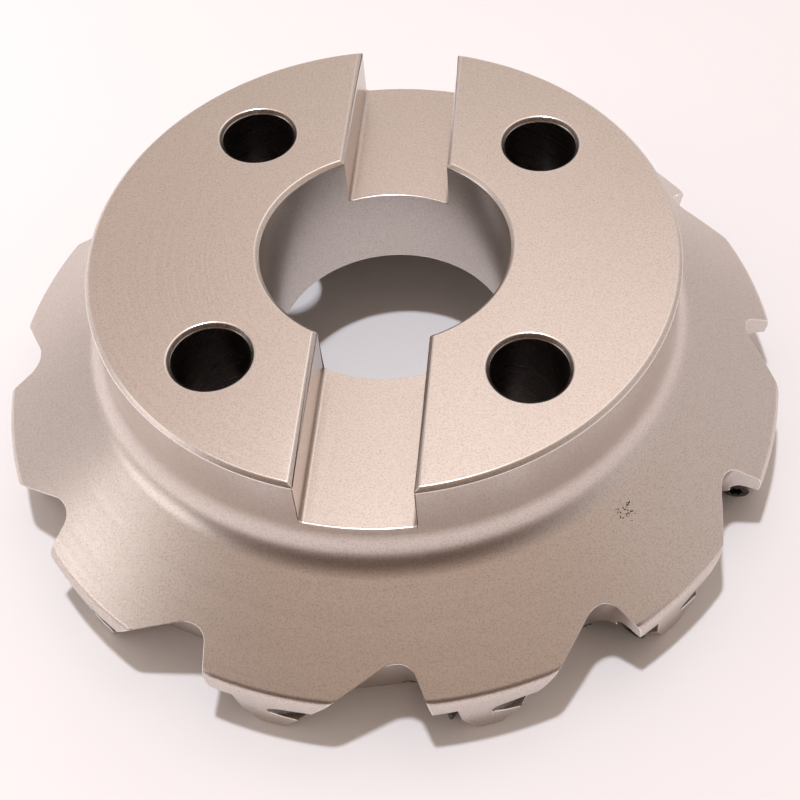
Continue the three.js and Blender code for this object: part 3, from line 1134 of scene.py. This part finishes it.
PLATED = MetalFinish(
    "satin_nickel_plating", base=(0.71, 0.64, 0.595), cloudy=(0.67, 0.60, 0.555), edge_wear_and_highlight=(0.80, 0.75, 0.71),
    fleck=(0.45, 0.39, 0.34),
    roughness=0.30, worn_roughness=0.24, grain_scale=2600.0, grain_strength=0.12,
    ring_scale=1600.0, ring_share=0.02, speck_share=0.23, speck_centre=(0.0588, -0.0540, 0.0327),
)
# Painted shade: a dark colour on the holes, pockets and reliefs stands for the shade deep inside them.
HOLLOW_PAINTED_SHADE = MetalFinish(
    "hollows_painted_shade", base=(0.16, 0.135, 0.125), cloudy=(0.11, 0.093, 0.086), edge_wear_and_highlight=(0.72, 0.65, 0.58),
    fleck=(0.24, 0.21, 0.195), roughness=0.36, worn_roughness=0.26, grain_scale=1800.0, grain_strength=0.2,
    ring_scale=1400.0, ring_share=0.10,
)
OXIDE = MetalFinish(
    "dark_oxide_steel", base=(0.10, 0.095, 0.09), cloudy=(0.07, 0.065, 0.06), edge_wear_and_highlight=(0.40, 0.37, 0.34),
    fleck=(0.05, 0.045, 0.04), roughness=0.38, worn_roughness=0.3, grain_scale=4200.0, grain_strength=0.15,
    ring_scale=5200.0, ring_share=0.05,
)


# ---- The studio -------------------------------------------------------------------------------


@dataclass(frozen=True)
class SoftBox:
    """A rectangular light; its beam narrows with the spread, in degrees."""

    name: str
    place: tuple[float, float, float]
    size: tuple[float, float]
    power: float
    colour: tuple[float, float, float]
    aim: tuple[float, float, float] = (0.0, 0.0, 0.03)
    spread: float = 180.0

    def build(self) -> None:
        """Make the light and turn it to its aim."""
        light = bpy.data.lights.new(self.name, "AREA")
        light.spread = math.radians(self.spread)
        light.shape = "RECTANGLE"
        light.size, light.size_y = self.size
        light.energy = self.power
        light.color = self.colour
        made = bpy.data.objects.new(self.name, light)
        made.location = self.place
        made.rotation_euler = (Vector(self.aim) - Vector(self.place)).to_track_quat("-Z", "Y").to_euler()
        bpy.context.scene.collection.objects.link(made)


@dataclass
class Studio:
    """Table, lights, surroundings and camera."""

    azimuth: float = 3.81
    elevation: float = 52.58
    roll: float = -1.03
    distance: float = 0.34426
    aside: float = 0.02552
    below: float = 0.03245
    lens: float = 64.92
    shift: tuple[float, float] = (-0.1147, -0.0257)
    sensor: float = 36.0
    clip: tuple[float, float] = (0.01, 20.0)
    table_size: float = 6.0
    table_pale: tuple[float, float, float] = (0.81, 0.805, 0.81)
    table_soft: tuple[float, float, float] = (0.79, 0.785, 0.79)
    table_patches: float = 3.0
    zenith: tuple[float, float, float] = (0.64, 0.50, 0.41)
    back: tuple[float, float, float] = (0.72, 0.65, 0.63)
    front: tuple[float, float, float] = (0.12, 0.07, 0.05)
    front_to_back: tuple[float, float] = (-0.9, -0.1)
    side_to_zenith: tuple[float, float] = (0.35, 0.9)
    boxes: tuple[SoftBox, ...] = (
        SoftBox("key_box", (-0.037, -0.015, 1.12), (0.06, 0.06), 7.8, (0.93, 0.93, 1.0)),
        SoftBox("back_box", (0.25, 0.72, 1.36), (1.2, 0.7), 1.7, (1.0, 0.97, 0.98)),
        SoftBox("left_box", (-1.15, -0.35, 0.45), (0.7, 0.35), 0.9, (1.0, 0.97, 0.97)),
        SoftBox(
            "side_box", (-0.80, -0.10, 0.9), (0.8, 1.2), 3.4, (1.0, 0.96, 0.96), (-0.80, -0.10, 0.0), 60.0
        ),
    )

    def build_table(self) -> None:
        """Lay a wide pale table top, dull all over, under the cutter."""
        bm = bmesh.new()
        bmesh.ops.create_grid(bm, x_segments=1, y_segments=1, size=self.table_size / 2)
        table = make_object("table_top", bm)
        material = bpy.data.materials.new("pale_table")
        material.use_nodes = True
        tree = material.node_tree
        shader = tree.nodes["Principled BSDF"]
        shader.inputs["Roughness"].default_value = 1.0
        shader.inputs["Specular IOR Level"].default_value = 0.0
        noise = tree.nodes.new("ShaderNodeTexNoise")
        noise.inputs["Scale"].default_value = self.table_patches
        place = tree.nodes.new("ShaderNodeTexCoord")
        tree.links.new(place.outputs["Object"], noise.inputs["Vector"])
        tone = MetalFinish.blend(tree, noise.outputs["Fac"], (*self.table_soft, 1), (*self.table_pale, 1))
        tree.links.new(tone, shader.inputs["Base Color"])
        for index in range(len(Surface)):
            table.data.materials[index] = material

    def build_surroundings(self) -> None:
        """Light of the room: warm overhead, pale behind and to the sides, dim in front."""
        world = bpy.data.worlds.new("room")
        bpy.context.scene.world = world
        world.use_nodes = True
        tree = world.node_tree
        nodes, link = tree.nodes, tree.links.new
        look = nodes.new("ShaderNodeTexCoord")
        split = nodes.new("ShaderNodeSeparateXYZ")
        link(look.outputs["Generated"], split.inputs["Vector"])
        behind = nodes.new("ShaderNodeMapRange")
        behind.interpolation_type = "SMOOTHSTEP"
        behind.inputs["From Min"].default_value, behind.inputs["From Max"].default_value = self.front_to_back
        link(split.outputs["Y"], behind.inputs["Value"])
        level = MetalFinish.blend(tree, behind.outputs["Result"], (*self.front, 1), (*self.back, 1))
        above = nodes.new("ShaderNodeMapRange")
        above.interpolation_type = "SMOOTHSTEP"
        above.inputs["From Min"].default_value, above.inputs["From Max"].default_value = self.side_to_zenith
        link(split.outputs["Z"], above.inputs["Value"])
        colour = MetalFinish.blend(tree, above.outputs["Result"], level, (*self.zenith, 1))
        link(colour, nodes["Background"].inputs["Color"])

    def build_camera(self, height: float) -> None:
        """Set the camera above the front of the cutter, turned to it.

        Args:
            height: height of the cutter's back face.
        """
        az, el = math.radians(self.azimuth), math.radians(self.elevation)
        back = Vector((math.sin(az) * math.cos(el), -math.cos(az) * math.cos(el), math.sin(el)))
        right = Vector((0, 0, 1)).cross(back).normalized()
        up = back.cross(right)
        roll = Matrix.Rotation(math.radians(self.roll), 3, back)
        right, up = roll @ right, roll @ up
        data = bpy.data.cameras.new("camera")
        data.lens = self.lens
        data.sensor_width = self.sensor
        data.shift_x, data.shift_y = self.shift
        data.clip_start, data.clip_end = self.clip
        camera = bpy.data.objects.new("camera", data)
        place = back * self.distance + right * self.aside - up * self.below + Vector((0, 0, height))
        turn = Matrix((right, up, back)).transposed().to_4x4()
        camera.matrix_world = Matrix.Translation(place) @ turn
        bpy.context.scene.collection.objects.link(camera)
        bpy.context.scene.camera = camera

    def build(self, height: float) -> None:
        """Set up everything round the cutter.

        Args:
            height: height of the cutter's back face.
        """
        self.build_table()
        self.build_surroundings()
        for box in self.boxes:
            box.build()
        self.build_camera(height)
        bpy.context.scene.view_settings.view_transform = "Standard"


# ---- Putting it together ----------------------------------------------------------------------


def main() -> None:
    """Build the cutter, its screws and the studio, and log their face counts."""
    logging.basicConfig(level=logging.INFO, format="%(name)s: %(message)s")
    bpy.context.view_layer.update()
    effects = Effects()
    plated, shaded_hollows, oxide = (finish.build(effects) for finish in (PLATED, HOLLOW_PAINTED_SHADE, OXIDE))
    cutter = CutterBody()
    cutter.build()
    cutter.dress(plated, shaded_hollows)
    LOG.info("%s has %d faces", cutter.piece.name, len(cutter.piece.data.polygons))
    for index in range(cutter.tooth.count):
        screw = InsertScrew(index + 1)
        screw.build(cutter.tooth.turn(index) @ cutter.tooth.seat_frame())
        screw.dress(oxide)
        LOG.info("%s has %d faces", screw.piece.name, len(screw.piece.data.polygons))
    Studio().build(cutter.blank.height)


if __name__ == "__main__":
    main()
